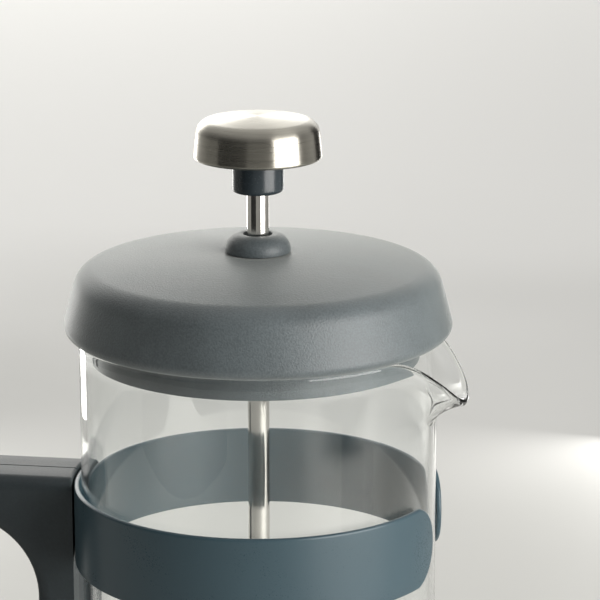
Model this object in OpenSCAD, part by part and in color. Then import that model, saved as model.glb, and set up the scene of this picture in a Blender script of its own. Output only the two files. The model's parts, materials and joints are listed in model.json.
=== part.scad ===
// French press: a glass beaker in a banded steel frame, with a domed lid and a filter plunger.
// Millimetres. +Z is up, the beaker's axis is Z, the handle points to -X and the pouring lip to +X.
// The origin is the centre of the face that the press stands on.

/* [Beaker] */
// Outside diameter of the glass beaker
beaker_d = 98; // [80:0.5:118]
// Height of the beaker from its underside to its rim
beaker_h = 173.2; // [140:0.1:210]
// Thickness of the beaker's wall
glass_t = 1.8; // [1.5:0.1:2.4]
// Thickness of the beaker's floor
glass_floor_t = 2.4; // [2:0.1:3.5]
// Outside radius where the beaker's wall turns into its floor
glass_corner_r = 10; // [7:0.5:13]
// Radius of the fire-polished bead round the rim
rim_bead_r = 1.25; // [1.1:0.05:1.5]
// How far the rim bead stands proud of the wall
rim_bead_out = 0.6; // [0.3:0.1:0.8]
// Reach of the pouring lip beyond the wall
lip_reach = 8.9; // [6:0.1:11]
// Drop of the pouring lip's tip below the rim
lip_drop = 16.2; // [10:0.1:20]
// Angle at the axis from the lip's middle to where its side leaves the rim
lip_half_angle = 31; // [24:1:38]

/* [Frame] */
// Gap between the glass and the steel band or base cup
glass_gap = 0.6; // [0.3:0.1:0.8]
// Thickness of the band's and the cup's steel
steel_t = 1.5; // [1:0.1:1.8]
// Height of the upper band
band_h = 22.5; // [16:0.5:28]
// Distance from the rim down to the band's top edge
band_drop = 43.1; // [36:0.5:60]
// Half of the band's opening under the lip, at the tips of its ends
band_tip_half = 11; // [10:0.5:18]
// How much the radius of the band's rounded ends exceeds half of its height
band_end_extra = 0.55; // [0.2:0.05:3]
// Height of the base cup's wall
cup_h = 24.2; // [18:0.2:32]
// Radius of the base cup's lower corner
cup_corner_r = 6; // [4:0.5:8]
// Thickness of the silicone foot under the cup
foot_t = 1.6; // [1.2:0.1:3]
// Thickness of the silicone pad between the cup and the beaker
pad_t = 1.7; // [1.2:0.1:3]

/* [Handle] */
// Width of the handle across its two shells
handle_w = 23; // [18:0.5:28]
// Reach of the handle from the frame to the back of the grip
handle_reach = 57.4; // [50:0.2:70]
// Height of the handle's top above the band's top edge
handle_lift = 1; // [0.5:0.1:6]
// Height of the handle's lower end above the base cup's underside
handle_foot = 13; // [9:0.5:18]
// Gap between the handle and the band
handle_gap = 0.4; // [0.3:0.1:0.6]
// Thickness of the handle's column beside the beaker
column_t = 9.7; // [8.6:0.1:12]
// Thickness of the grip, and of the bars above and below the finger opening
grip_t = 12.4; // [11:0.2:16]
// Radius of the finger opening's corners beside the column
arch_r = 22.5; // [12:0.5:24]
// Radius of the finger opening's corners beside the grip
grip_corner_r = 12; // [8:0.5:14]
// Rounding along the handle's long edges
handle_edge_r = 3.5; // [2:0.5:4]
// Wall of the handle shells
shell_t = 2.4; // [2:0.1:3]
// Thickness of the steel spine between the shells
spine_t = 2; // [1.5:0.1:2.5]
// Depth of the spine from the frame into the handle
spine_depth = 7.5; // [7:0.1:8]

/* [Lid] */
// Overhang of the lid beyond the beaker's wall
lid_overhang = 4; // [3.8:0.1:7]
// Height of the lid's top above the rim
lid_h = 22.1; // [18:0.2:28]
// Slope of the lid's side from upright, in degrees
lid_taper = 15; // [8:1:20]
// Radius of the lid's shoulder
lid_shoulder_r = 7; // [4:0.5:9]
// Radius of the lid's lower edge
lid_edge_r = 2.5; // [1.5:0.1:3]
// Radius of the crown of the lid's top
lid_crown_r = 266; // [200:1:400]
// Wall of the lid
lid_t = 2.6; // [2:0.1:3.2]
// Gap between the beaker's wall and the skirt that hangs in it
skirt_gap = 3; // [1.5:0.1:6]
// Depth of the skirt below the rim
skirt_depth = 7.2; // [5:0.1:12]
// Wall of the skirt
skirt_t = 1.5; // [1.2:0.1:2]
// Diameter of the bush's dome on the lid
bush_d = 17.8; // [15:0.2:22]
// Height of the bush's dome
bush_h = 5; // [4.6:0.1:6]
// Wall of the bush's stem round the rod
bush_stem_t = 2.5; // [1.8:0.1:3]

/* [Plunger] */
// Diameter of the plunger rod
rod_d = 6; // [5:0.1:7]
// Length of rod that shows between the bush and the knob's collar
rod_show = 11.6; // [6:0.2:20]
// Wall of the knob's collar round the rod's threaded insert
collar_t = 2.75; // [1.8:0.05:4]
// Height of the collar below the knob
collar_h = 9.3; // [6:0.1:14]
// Diameter of the knob
knob_d = 35; // [30:0.5:42]
// Height of the knob
knob_h = 11.5; // [9:0.1:13]
// Taper of the knob's side, in degrees
knob_taper = 6; // [2:0.5:9]
// Radius of the knob's upper edge
knob_edge_r = 4; // [2.5:0.1:5]
// Radius of the crown of the knob's top
knob_crown_r = 97; // [60:1:160]
// Wall of the knob's steel cap
knob_t = 0.8; // [0.6:0.1:1.2]
// Gap between the folded screen and the glass
screen_gap = 0.8; // [0.6:0.1:1.2]
// Radius of the sealing coil round the spring plate
coil_r = 1.3; // [1.1:0.1:1.6]
// Thickness of the filter's steel plates
plate_t = 0.8; // [0.6:0.1:1]
// Radial clearance of the rod in its bush, and of the bush's stem in the lid
running_gap = 0.05; // [0.02:0.01:0.09]

/* [Hidden] */
$fn = 96;
eps = 0.01;

// Heights of the stack, from the floor up
cup_z = foot_t;
pad_z = cup_z + steel_t;
beaker_z = pad_z + pad_t;
rim_z = beaker_z + beaker_h;
floor_z = beaker_z + glass_floor_t;
band_top = rim_z - band_drop;
band_bottom = band_top - band_h;
band_mid = (band_top + band_bottom) / 2;
band_end_r = band_h / 2 + band_end_extra;
cup_top = cup_z + cup_h;

// Radii round the beaker's axis
foot_inset = 1;
beaker_r = beaker_d / 2;
beaker_ri = beaker_r - glass_t;
frame_ri = beaker_r + glass_gap;
frame_ro = frame_ri + steel_t;
foot_r = frame_ro - cup_corner_r - foot_inset;
pad_r = beaker_r - glass_corner_r - foot_inset;
sheet_edge_r = steel_t * 0.4;

// Handle, seen from its side
handle_in = -(frame_ro + handle_gap);
column_x = handle_in - column_t;
handle_out = handle_in - handle_reach;
grip_x = handle_out + grip_t;
handle_top = band_top + handle_lift;
handle_bottom = cup_z + handle_foot;
open_top = handle_top - grip_t;
open_bottom = handle_bottom + grip_t;
opening_flat = 0.5;
arch_r_used = min(arch_r, column_x - grip_x - grip_corner_r - opening_flat);
overrun = 4;
back_r = grip_corner_r + grip_t;
half_w = handle_w / 2;
edge_mid = handle_edge_r * (1 - cos(45));
spine_gap = 0.05;
spine_top = band_top - 4;
spine_bottom = handle_bottom + 2;
spine_step = 1.5;
spine_out = -(frame_ro + spine_depth);
spine_free_x = handle_in - spine_step;

// Screws through the handle, as [x, z]
screw_r = 1.5;
screw_head_r = 2.75;
screw_head_h = 2.4;
screw_sink = 0.8;
screw_free = 0.1;
hex_r = 1.4;
hex_depth = 1.4;
insert_r = 2.2;
insert_len = 6;
insert_z0 = 1.3;
boss_r = 4.6;
column_screw_depth = 3.9;
column_screw_x = -(frame_ro + column_screw_depth);
grip_mid_x = (handle_out + grip_x) / 2;
grip_mid_z = (handle_top + handle_bottom) / 2;
screws = [
    [column_screw_x, band_mid + 1],
    [column_screw_x, spine_bottom + 6],
    [grip_mid_x, grip_mid_z]
];
screw_len = half_w - screw_sink - screw_head_h + insert_z0 + insert_len - 0.5;

// Lid
seat_gap = 0.05;
lid_r = beaker_r + lid_overhang;
flange_gap = 0.6;
rib_gap = 0.2;
lid_top = rim_z + lid_h;
flange_t = 1.4;
flange_z = rim_z + seat_gap;
ledge_z = flange_z + flange_t;
flange_r = lid_r - lid_t - flange_gap;
skirt_r = beaker_ri - skirt_gap;
skirt_z = rim_z - skirt_depth;
slot_n = 9;
slot_w = 2.2;
slot_pitch = 6.5;
slot_h = 4.4;
slot_foot = 1.6;
ledge_t = 1.6;
ledge_r = skirt_r + 2;
spot_margin = 0.6;
spot_r = bush_d / 2 + spot_margin;
spot_depth = 0.25;
spot_z = lid_top - spot_depth;
hub_t = 3.6;
hub_z = lid_top - hub_t;
hub_r = spot_r + 1;
bush_float = 0.1;
bush_z = spot_z + bush_float;
bush_r = bush_d / 2;
stem_r = rod_d / 2 + bush_stem_t;
mouth_r = rod_d / 2 + 0.9;
mouth_step = 0.3;
mouth_depth = 1.8;
bush_bead = 0.72;
nut_t = 4;
nut_z = hub_z - bush_float - nut_t;
nut_wall = 3.6;
nut_r = stem_r + nut_wall;

// Plunger
rod_r = rod_d / 2;
collar_z = bush_z + bush_h + rod_show;
knob_z = collar_z + collar_h;
knob_r = knob_d / 2;
knob_lip_r = 0.9;
thread_wall = 1.3;
insert_ro = rod_r + thread_wall;
collar_r = insert_ro + collar_t;
collar_edge_r = 1.2;
insert_depth = 2;
thread_z = collar_z + insert_depth;
rod_top = knob_z + 2;
nut_clear = 0.4;
nut_flange_t = 1;
foot_nut_r = 5;
foot_flange_r = 7;
foot_nut_h = 4;
cross_z = floor_z + nut_clear + foot_nut_h;
cross_inset = 0.6;
screen_z = cross_z + plate_t;
screen_t = 0.4;
plate_z = screen_z + screen_t;
screen_r = beaker_ri - screen_gap;
screen_fold = 1.2;
screen_h = 2 * coil_r + screen_fold;
coil_gap = 0.2;
coil_mid_r = screen_r - screen_t - coil_gap - coil_r;
coil_z = plate_z + coil_r;
plate_r = coil_mid_r - coil_r - coil_gap / 2;
hub_nut_h = 6;
hub_nut_r = 6;
hub_flange_r = 8.5;
hole_r = 1.6;
hole_edge = 6;
hole_pitch = 7;
large_hole_r = screen_r / 5;
large_hole_ring = screen_r / 2 + 4;

// Points of an arc from angle a to angle b, about (x, y)
function arc(x, y, r, a, b, n = 8) =
    [for (i = [0:n]) let (t = a + (b - a) * i / n) [x + r * cos(t), y + r * sin(t)]];

function backwards(list) = [for (i = [len(list) - 1:-1:0]) list[i]];

// Centre of a fillet that touches a side leaning in by taper from (r0, z0), and a dome from inside
function shoulder_centre(r0, z0, taper, fillet, dome_r, dome_z) =
    let (b = tan(taper), a = r0 + z0 * b - fillet / cos(taper), s = dome_r - fillet)
    let (q = 1 + b * b, p = a * b + dome_z)
    let (z = (p + sqrt(p * p - q * (a * a + dome_z * dome_z - s * s))) / q)
    [a - b * z, z];

// Outline of a domed cap of radius r and height h, from start_r on its dome to its shoulder.
// The foot is the radius of its lower edge, and the whole outline is drawn in by inset
function cap_top(r, h, foot, taper, fillet, dome_r, inset, start_r) =
    let (r0 = r - foot * (1 - cos(taper)), z0 = foot * (1 + sin(taper)))
    let (c = shoulder_centre(r0, z0, taper, fillet, dome_r, h - dome_r))
    let (a = 90 - asin(c[0] / (dome_r - fillet)))
    concat(
        arc(0, h - dome_r, dome_r - inset, 90 - asin(start_r / (dome_r - inset)), a, 6),
        arc(c[0], c[1], fillet - inset, a, taper, 8)
    );

// The lower edge that goes with it
function cap_foot(r, foot, taper, inset) =
    arc(r - foot, foot, max(foot - inset, 0.05), taper, -90, 6);

function lift(points, z) = [for (p = points) [p[0], p[1] + z]];

// Upper edge of a sheet ring, from its inside to its outside, rounded
function sheet_edge(ri, ro, z, r) =
    concat(arc(ri + r, z - r, r, 180, 90, 4), arc(ro - r, z - r, r, 90, 0, 4));

// Lower edge of a sheet ring, from its outside to its inside, rounded
function sheet_foot(ri, ro, z, r) =
    concat(arc(ro - r, z + r, r, 0, -90, 4), arc(ri + r, z + r, r, 270, 180, 4));

module revolve(points) {
    rotate_extrude() polygon(points);
}

module tube(ro, ri, h) {
    difference() {
        cylinder(r = ro, h = h);
        translate([0, 0, -1]) cylinder(r = ri, h = h + 2);
    }
}

// Stands a drawing in X and Z upright, and gives it a thickness towards -Y
module upright(h) {
    rotate([90, 0, 0]) linear_extrude(h) children();
}

// ---- Beaker ----

lip_tip_r = 1.2;
lip_tip = [beaker_r + lip_reach - lip_tip_r, rim_z - lip_drop - lip_tip_r];
lip_root_z = lip_tip[1] - 3.2;
lip_start = beaker_r + rim_bead_out - rim_bead_r;

module ball(r, radius, angle, z) {
    rotate([0, 0, angle]) translate([radius, 0, z]) sphere(r = r, $fn = 8);
}

// The lip's outside: flat sides from the rim to a rounded tip
module lip_body() {
    hull() {
        ball(lip_tip_r, lip_tip[0], 0, lip_tip[1]);
        for (s = [-1, 1]) {
            ball(rim_bead_r, lip_start, s * lip_half_angle, rim_z - rim_bead_r - 0.6);
            ball(0.8, beaker_r - 1, s * 10, lip_root_z + 1.5);
        }
        ball(0.8, beaker_r - 1, 0, lip_root_z);
    }
}

// The channel that the coffee runs down
module lip_channel() {
    hull() {
        for (z = [lip_tip[1] + 1.4, rim_z + 6]) ball(0.6, lip_tip[0] - 1.6, 0, z);
        for (s = [-1, 1], z = [rim_z - 2.5, rim_z + 6]) {
            ball(0.6, beaker_ri - 0.2, s * lip_half_angle, z);
        }
        for (s = [-1, 0, 1]) ball(0.6, beaker_ri - 1, s * 12, lip_root_z + 2.2 + abs(s));
        ball(0.6, beaker_ri - 1, 0, rim_z + 6);
    }
}

// What stands above the lip's sloping sides
module lip_shear() {
    x = lip_start * cos(lip_half_angle);
    slope = atan(lip_drop / (beaker_r + lip_reach - x));
    translate([x, -beaker_r, rim_z]) rotate([0, slope, 0]) cube([beaker_r, beaker_d, beaker_r]);
}

module glass_beaker() {
    inner_r = glass_corner_r - glass_t;
    outer = concat(
        [[0, beaker_z]],
        arc(beaker_r - glass_corner_r, beaker_z + glass_corner_r, glass_corner_r, -90, 0, 8),
        arc(lip_start, rim_z - rim_bead_r, rim_bead_r, -55, 90, 6),
        [[beaker_ri, rim_z - 0.1], [beaker_ri, floor_z + inner_r]],
        backwards(arc(beaker_ri - inner_r, floor_z + inner_r, inner_r, -90, 0, 8)),
        [[0, floor_z]]
    );
    color("azure", 0.35) difference() {
        union() {
            revolve(outer);
            lip_body();
        }
        lip_channel();
        lip_shear();
        translate([0, 0, rim_z - 30]) cylinder(r = beaker_ri, h = 40);
    }
}

// ---- Frame ----

module band_opening() {
    tip_y = band_tip_half + band_end_r;
    corner_y = tip_y - sqrt(pow(band_end_r, 2) - pow(band_h / 2, 2));
    difference() {
        translate([0, -corner_y, band_bottom - 1]) cube([frame_ro + 5, 2 * corner_y, band_h + 2]);
        for (s = [-1, 1]) {
            translate([-1, s * tip_y, band_mid]) rotate([0, 90, 0])
                cylinder(r = band_end_r, h = frame_ro + 8);
        }
    }
}

module upper_band() {
    color("slategray") difference() {
        revolve(concat(
            sheet_edge(frame_ri, frame_ro, band_top, sheet_edge_r),
            sheet_foot(frame_ri, frame_ro, band_bottom, sheet_edge_r)
        ));
        band_opening();
    }
}

module base_cup() {
    inner_r = cup_corner_r - steel_t;
    color("slategray") revolve(concat(
        [[0, cup_z]],
        arc(frame_ro - cup_corner_r, cup_z + cup_corner_r, cup_corner_r, -90, 0, 8),
        backwards(sheet_edge(frame_ri, frame_ro, cup_top, sheet_edge_r)),
        arc(frame_ri - inner_r, pad_z + inner_r, inner_r, 0, -90, 8),
        [[0, pad_z]]
    ));
}

module base_pad() {
    color("dimgray") translate([0, 0, pad_z]) cylinder(r = pad_r, h = pad_t);
}

module base_foot() {
    color("dimgray") cylinder(r = foot_r, h = foot_t);
}

module spine_outline(grow = 0) {
    translate([spine_out - grow, spine_bottom - grow])
        square([-spine_out - frame_ri + 2, spine_top - spine_bottom + 2 * grow]);
}

module frame_spine() {
    color("silver") difference() {
        translate([0, spine_t / 2, 0]) upright(spine_t) spine_outline();
        cylinder(r = frame_ro, h = rim_z);
        translate([spine_free_x, -handle_w, cup_top + spine_step])
            cube([frame_ro, 2 * handle_w, band_bottom - cup_top - 2 * spine_step]);
        for (s = screws) {
            translate([s[0], handle_w, s[1]]) rotate([90, 0, 0])
                cylinder(r = screw_r + screw_free, h = 2 * handle_w);
        }
    }
}

// ---- Handle ----

// Outline of the handle from the side, drawn in by inset
module handle_outline(inset = 0) {
    polygon(concat(
        [[-frame_ri + overrun, handle_top - inset]],
        arc(handle_out + back_r, handle_top - back_r, back_r - inset, 90, 180, 12),
        arc(handle_out + back_r, handle_bottom + back_r, back_r - inset, 180, 270, 12),
        [[-frame_ri + overrun, handle_bottom + inset]]
    ));
}

// Outline of the finger opening, let out by grow
module opening_outline(grow = 0) {
    a = arch_r_used;
    c = grip_corner_r;
    polygon(concat(
        arc(column_x - a, open_top - a, a + grow, 0, 90, 12),
        arc(grip_x + c, open_top - c, c + grow, 90, 180, 8),
        arc(grip_x + c, open_bottom + c, c + grow, 180, 270, 8),
        arc(column_x - a, open_bottom + a, a + grow, 270, 360, 12)
    ));
}

// A thin slice of a drawing, at a depth towards -Y
module slice(depth) {
    translate([0, -depth, 0]) upright(eps) children();
}

// One handle shell, the -Y half: a rounded loop with a hollow grip, open at the joint
module handle_half() {
    flat = half_w - handle_edge_r;
    bevel = flat + handle_edge_r * sin(45);
    difference() {
        hull() {
            upright(flat) handle_outline();
            slice(bevel) handle_outline(edge_mid);
            slice(half_w - eps) handle_outline(handle_edge_r);
        }
        translate([0, 1, 0]) upright(flat + 1 + eps) opening_outline();
        hull() {
            slice(flat) opening_outline();
            slice(bevel) opening_outline(edge_mid);
        }
        hull() {
            slice(bevel - eps) opening_outline(edge_mid);
            slice(half_w + eps) opening_outline(handle_edge_r);
        }
        translate([0, 0, -1]) cylinder(r = -handle_in, h = rim_z);
        translate([0, 1, 0]) upright(spine_t / 2 + spine_gap + 1) spine_outline(0.2);
        difference() {
            translate([0, 1, 0]) upright(half_w - shell_t + 1) difference() {
                handle_outline(shell_t);
                opening_outline(shell_t);
                translate([column_x - shell_t, 0]) square([frame_ro, rim_z]);
            }
            translate([grip_mid_x, 2, grip_mid_z]) rotate([90, 0, 0])
                cylinder(r = boss_r, h = handle_w);
        }
    }
}

module handle_front() {
    color("darkslategray") difference() {
        handle_half();
        for (s = screws) {
            translate([s[0], 1, s[1]]) rotate([90, 0, 0])
                cylinder(r = insert_r, h = insert_z0 + insert_len + 1);
        }
    }
}

module handle_rear() {
    head_y = half_w - screw_sink - screw_head_h;
    color("darkslategray") difference() {
        mirror([0, 1, 0]) handle_half();
        for (s = screws) {
            translate([s[0], handle_w, s[1]]) rotate([90, 0, 0])
                cylinder(r = screw_r + screw_free, h = handle_w + 1);
            translate([s[0], handle_w, s[1]]) rotate([90, 0, 0])
                cylinder(r = screw_head_r + screw_free, h = handle_w - head_y);
        }
    }
}

module handle_screws() {
    head_y = half_w - screw_sink - screw_head_h;
    color("silver") for (s = screws) {
        translate([s[0], head_y, s[1]]) rotate([90, 0, 0]) cylinder(r = screw_r, h = screw_len);
        difference() {
            translate([s[0], head_y + screw_head_h, s[1]]) rotate([90, 0, 0])
                cylinder(r = screw_head_r, h = screw_head_h);
            translate([s[0], head_y + screw_head_h + 1, s[1]]) rotate([90, 0, 0])
                cylinder(r = hex_r, h = hex_depth + 1, $fn = 6);
        }
    }
}

module handle_inserts() {
    color("goldenrod") for (s = screws) {
        translate([s[0], -insert_z0, s[1]]) rotate([90, 0, 0]) tube(insert_r, screw_r, insert_len);
    }
}

// ---- Lid ----

// Outline of the lid's dome and shoulder above the rim, drawn in by inset
function lid_points(inset, start_r) = lift(
    cap_top(lid_r, lid_h, lid_edge_r, lid_taper, lid_shoulder_r, lid_crown_r, inset, start_r), rim_z);

module lid_cover() {
    side_in = lid_r - lid_t / cos(lid_taper) - (ledge_z + ledge_t - rim_z - lid_edge_r) * tan(lid_taper);
    color("slategray") difference() {
        revolve(concat(
            [[0, spot_z], [spot_r, spot_z]],
            lid_points(0, spot_r + running_gap + spot_depth),
            lift(cap_foot(lid_r, lid_edge_r, lid_taper, 0), rim_z),
            [[flange_r + rib_gap, rim_z], [flange_r + rib_gap, ledge_z], [ledge_r, ledge_z]],
            [[ledge_r, ledge_z + ledge_t], [side_in, ledge_z + ledge_t]],
            backwards(lid_points(lid_t, hub_r)),
            [[hub_r, hub_z], [0, hub_z]]
        ));
        translate([0, 0, hub_z - 1]) cylinder(r = stem_r + running_gap, h = lid_h);
    }
}

module lid_skirt() {
    color("dimgray") difference() {
        union() {
            translate([0, 0, flange_z]) tube(flange_r, skirt_r - skirt_t, flange_t);
            translate([0, 0, skirt_z]) tube(skirt_r, skirt_r - skirt_t, ledge_z - skirt_z);
        }
        for (i = [0:slot_n - 1]) {
            rotate([0, 0, 180 + (i - (slot_n - 1) / 2) * slot_pitch])
                translate([skirt_r - skirt_t - 2, -slot_w / 2, skirt_z + slot_foot])
                cube([skirt_t + 4, slot_w, slot_h]);
        }
    }
}

module lid_bush() {
    bead = (bush_r - rod_r) * bush_bead;
    top = bush_z + bush_h;
    color("slategray") difference() {
        revolve(concat(
            [[0, nut_z], [stem_r, nut_z], [stem_r, bush_z], [bush_r - mouth_step, bush_z]],
            arc(bush_r - bead, top - bead, bead, -8, 95, 10),
            [[mouth_r, top - mouth_depth / 4], [mouth_r - mouth_step, top - mouth_depth]],
            [[0, top - mouth_depth]]
        ));
        translate([0, 0, nut_z - 1]) cylinder(r = rod_r + running_gap, h = lid_h);
    }
}

module bush_nut() {
    color("dimgray") difference() {
        translate([0, 0, nut_z]) cylinder(r = nut_r, h = nut_t, $fn = 6);
        translate([0, 0, nut_z - 1]) cylinder(r = stem_r, h = nut_t + 2);
    }
}

// ---- Plunger ----

// Outline of the knob from its axis to its lower edge, drawn in by inset
function knob_points(inset) = lift(concat(
    cap_top(knob_r, knob_h, knob_lip_r, knob_taper, knob_edge_r, knob_crown_r, inset, 0),
    cap_foot(knob_r, knob_lip_r, knob_taper, inset)
), knob_z);

module knob_cap() {
    color("lightgray") revolve(concat(knob_points(0), backwards(knob_points(knob_t))));
}

module knob_core() {
    color("darkslategray") difference() {
        revolve(concat(
            knob_points(knob_t),
            [[collar_r, knob_z + knob_t]],
            arc(collar_r - collar_edge_r, collar_z + collar_edge_r, collar_edge_r, 0, -90, 5),
            [[0, collar_z]]
        ));
        translate([0, 0, collar_z - 1]) cylinder(r = rod_r, h = rod_top - collar_z + 1);
        translate([0, 0, thread_z]) cylinder(r = insert_ro, h = rod_top - thread_z);
    }
}

module knob_insert() {
    color("goldenrod") translate([0, 0, thread_z]) tube(insert_ro, rod_r, rod_top - thread_z);
}

module plunger_rod() {
    bottom = floor_z + nut_clear + nut_flange_t;
    color("silver") translate([0, 0, bottom]) cylinder(r = rod_r, h = rod_top - bottom);
}

module rod_collar() {
    color("silver") translate([0, 0, plate_z + plate_t]) difference() {
        union() {
            cylinder(r = hub_flange_r, h = nut_flange_t);
            cylinder(r = hub_nut_r, h = hub_nut_h);
        }
        translate([0, 0, -1]) cylinder(r = rod_r, h = hub_nut_h + 2);
    }
}

// A ring of round holes through a plate
module hole_ring(n, radius, r, z, turn = 0) {
    for (i = [0:n - 1]) {
        rotate([0, 0, turn + 360 * i / n]) translate([radius, 0, z - 1])
            cylinder(r = r, h = plate_t + 2, $fn = 24);
    }
}

module spring_plate() {
    color("silver") difference() {
        translate([0, 0, plate_z]) cylinder(r = plate_r, h = plate_t);
        translate([0, 0, plate_z - 1]) cylinder(r = rod_r, h = plate_t + 2);
        for (k = [0:2]) {
            hole_ring(24 - 6 * k, plate_r - hole_edge - k * hole_pitch, hole_r, plate_z, 10 * k);
        }
    }
}

module sealing_coil() {
    color("silver") translate([0, 0, coil_z]) rotate_extrude()
        translate([coil_mid_r, 0]) circle(r = coil_r, $fn = 24);
}

module mesh_screen() {
    color("gainsboro") difference() {
        translate([0, 0, screen_z]) cylinder(r = screen_r, h = screen_h);
        translate([0, 0, plate_z]) cylinder(r = screen_r - screen_t, h = screen_h);
        translate([0, 0, screen_z - 1]) cylinder(r = rod_r, h = screen_h);
    }
}

module cross_plate() {
    color("silver") difference() {
        translate([0, 0, cross_z]) cylinder(r = screen_r - cross_inset, h = plate_t);
        translate([0, 0, cross_z - 1]) cylinder(r = rod_r, h = plate_t + 2);
        hole_ring(6, large_hole_ring, large_hole_r, cross_z);
        hole_ring(6, screen_r / 4, screen_r / 12, cross_z, 30);
    }
}

module filter_nut() {
    color("silver") difference() {
        translate([0, 0, floor_z + nut_clear]) union() {
            cylinder(r = foot_nut_r, h = foot_nut_h - nut_flange_t);
            translate([0, 0, foot_nut_h - nut_flange_t]) cylinder(r = foot_flange_r, h = nut_flange_t);
        }
        translate([0, 0, floor_z + nut_clear + nut_flange_t]) cylinder(r = rod_r, h = foot_nut_h);
    }
}

glass_beaker();
upper_band();
base_cup();
base_pad();
base_foot();
frame_spine();
handle_front();
handle_rear();
handle_screws();
handle_inserts();
lid_cover();
lid_skirt();
lid_bush();
bush_nut();
knob_cap();
knob_core();
knob_insert();
plunger_rod();
rod_collar();
spring_plate();
sealing_coil();
mesh_screen();
cross_plate();
filter_nut();
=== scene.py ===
"""French press: a glass beaker in a banded steel frame, with a domed lid and a filter plunger.

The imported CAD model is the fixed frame. Each sub-assembly below is a class that holds its sizes, builds its
smooth surfaces as whole numpy grids, and dresses them in procedural finishes. Sizes are in metres.
"""

import functools
import json
import logging
import math
from dataclasses import dataclass, field
from enum import Enum
from typing import Any, Iterable, Sequence

import bpy
import numpy as np
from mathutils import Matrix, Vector

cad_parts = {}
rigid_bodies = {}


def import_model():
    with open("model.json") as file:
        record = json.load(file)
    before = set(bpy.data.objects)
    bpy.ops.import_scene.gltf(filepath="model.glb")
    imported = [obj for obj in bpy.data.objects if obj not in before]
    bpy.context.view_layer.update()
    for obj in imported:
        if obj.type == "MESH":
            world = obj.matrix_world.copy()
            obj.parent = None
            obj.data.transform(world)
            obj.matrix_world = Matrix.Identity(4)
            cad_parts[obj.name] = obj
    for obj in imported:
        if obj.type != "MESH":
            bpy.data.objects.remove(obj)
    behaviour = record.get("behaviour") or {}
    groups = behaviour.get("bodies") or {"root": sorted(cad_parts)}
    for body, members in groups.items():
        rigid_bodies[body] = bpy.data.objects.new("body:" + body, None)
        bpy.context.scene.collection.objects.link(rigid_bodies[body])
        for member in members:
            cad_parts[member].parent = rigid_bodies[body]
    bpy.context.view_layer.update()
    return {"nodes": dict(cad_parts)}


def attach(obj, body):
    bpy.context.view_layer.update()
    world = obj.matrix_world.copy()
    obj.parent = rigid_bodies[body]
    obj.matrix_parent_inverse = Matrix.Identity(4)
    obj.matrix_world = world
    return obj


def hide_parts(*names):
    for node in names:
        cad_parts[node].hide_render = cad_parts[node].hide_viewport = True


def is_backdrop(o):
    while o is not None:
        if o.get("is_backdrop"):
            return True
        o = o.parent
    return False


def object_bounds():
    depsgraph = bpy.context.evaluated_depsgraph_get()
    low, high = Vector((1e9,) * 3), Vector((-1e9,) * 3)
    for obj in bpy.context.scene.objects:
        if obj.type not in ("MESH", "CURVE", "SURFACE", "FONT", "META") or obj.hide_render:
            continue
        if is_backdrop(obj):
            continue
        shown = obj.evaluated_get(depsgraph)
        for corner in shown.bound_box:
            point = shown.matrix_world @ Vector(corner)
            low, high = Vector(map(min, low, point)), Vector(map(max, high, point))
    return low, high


Array = np.ndarray
Colour = tuple[float, float, float]
MM = 0.001
CREASE = 32.0  # degrees: faces that turn by less than this are shaded as one surface
SAME_POINT = 0.001 * MM  # points closer than this are one point
BAND = (0.3, 0.7)  # the part of a noise's range that a tone runs over
log = logging.getLogger("french_press")


# ---- Shader graphs ----


class Value:
    """A socket's output with Python's operators, each of which adds a Math node."""

    def __init__(self, graph: "Graph", socket: bpy.types.NodeSocket) -> None:
        """Wraps a socket.

        Args:
            graph: The graph that new nodes go into.
            socket: The output socket.
        """
        self.graph, self.socket = graph, socket

    def math(self, operation: str, *others: "Value | float", swap: bool = False) -> "Value":
        """Adds a Math node.

        Args:
            operation: The node's operation.
            others: Its other operands.
            swap: True if this value is the second operand.

        Returns:
            The node's result.
        """
        operands = [self, *others]
        if swap:
            operands.reverse()
        node = self.graph.node("ShaderNodeMath", {"operation": operation}, dict(enumerate(operands)))
        return Value(self.graph, node.outputs[0])

    def __add__(self, other: "Value | float") -> "Value":
        """Sum."""
        return self.math("ADD", other)

    __radd__ = __add__

    def __sub__(self, other: "Value | float") -> "Value":
        """Difference."""
        return self.math("SUBTRACT", other)

    def __rsub__(self, other: float) -> "Value":
        """Difference from a number."""
        return self.math("SUBTRACT", other, swap=True)

    def __mul__(self, other: "Value | float") -> "Value":
        """Product."""
        return self.math("MULTIPLY", other)

    __rmul__ = __mul__

    def __truediv__(self, other: "Value | float") -> "Value":
        """Quotient."""
        return self.math("DIVIDE", other)

    def between(self, low: float, high: float) -> "Value":
        """Rises smoothly from 0 at low to 1 at high."""
        node = self.graph.node(
            "ShaderNodeMapRange",
            {"interpolation_type": "SMOOTHSTEP"},
            {"Value": self, "From Min": low, "From Max": high},
        )
        return Value(self.graph, node.outputs[0])


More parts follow.
